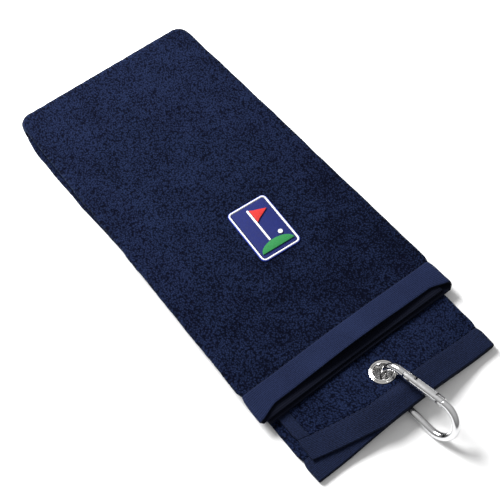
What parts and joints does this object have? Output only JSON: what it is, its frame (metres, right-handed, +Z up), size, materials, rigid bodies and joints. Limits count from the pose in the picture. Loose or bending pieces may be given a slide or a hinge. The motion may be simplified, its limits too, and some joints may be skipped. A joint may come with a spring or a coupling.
{
  "type": "golf towel",
  "caption": "Navy terry golf towel folded in thirds and once across, with an embroidered badge, a metal eyelet and a small carabiner with a sprung gate.",
  "frame": {"origin": "centre of the folded towel's footprint, on the surface it lies on", "axes": "+X across the folded towel towards the inner flap's fold, +Y along it from the eyelet end to the cross fold, +Z up"},
  "size_m": [0.1433, 0.3366, 0.026],
  "materials": {
    "terry": "looped cotton terry, navy",
    "band": "flat-woven cotton, navy",
    "thread": "sewing thread, navy",
    "nickel": "bright nickel plate",
    "clip_metal": "tumbled satin",
    "gate_metal": "brushed",
    "pin_steel": "plain steel",
    "badge_field": "royal blue embroidery",
    "badge_white": "white satin-stitch thread",
    "badge_red": "red embroidery",
    "badge_green": "green embroidery"
  },
  "bodies": {
    "lower_half": {"lower_terry": "terry", "lower_end_hem": "band", "lower_outer_side_hem": "band", "lower_inner_side_hem": "band", "lower_end_thread": "thread", "lower_outer_thread": "thread", "lower_inner_thread": "thread", "grommet_eyelet": "nickel", "grommet_washer": "nickel"},
    "upper_half": {"upper_terry": "terry", "upper_end_hem": "band", "upper_outer_side_hem": "band", "upper_inner_side_hem": "band", "upper_end_thread": "thread", "upper_outer_thread": "thread", "upper_inner_thread": "thread", "badge_ground": "badge_field", "badge_border": "badge_white", "badge_pole": "badge_white", "badge_pennant": "badge_red", "badge_green": "badge_green", "badge_ball": "badge_white"},
    "carabiner": {"carabiner_body": "clip_metal", "gate_rivet": "pin_steel"},
    "gate": {"gate_sleeve": "gate_metal", "gate_latch_pin": "pin_steel", "gate_spring": "pin_steel"},
    "plunger": {"gate_plunger": "pin_steel"}
  },
  "joints": [
    {"name": "cross_fold", "type": "hinge", "parent": "lower_half", "child": "upper_half", "pos_m": [0, 0.1542, 0.0056], "axis": [-1, 0, 0], "range_deg": [0, 180]},
    {"name": "clip_swivel", "type": "hinge", "parent": "lower_half", "child": "carabiner", "pos_m": [0.0027, -0.1289, 0.01051], "axis": [0, 0, 1], "range_deg": [-25, 25]},
    {"name": "gate_pivot", "type": "hinge", "parent": "carabiner", "child": "gate", "pos_m": [0.00735, -0.14381, 0.01975], "axis": [0.9255, 0.0566, -0.3746], "range_deg": [0, 30], "stiffness_Nm_per_rad": 0.015, "springref_deg": -34.38},
    {"name": "plunger_slide", "type": "slide", "parent": "gate", "child": "plunger", "axis": [0.1229, -0.9802, 0.1554], "range_m": [0, 0.0009], "deforming": ["gate_spring"]}
  ],
  "couplings": [
    {"joint": "plunger_slide", "follows": "gate_pivot", "m_per_rad": 0.0016}
  ]
}
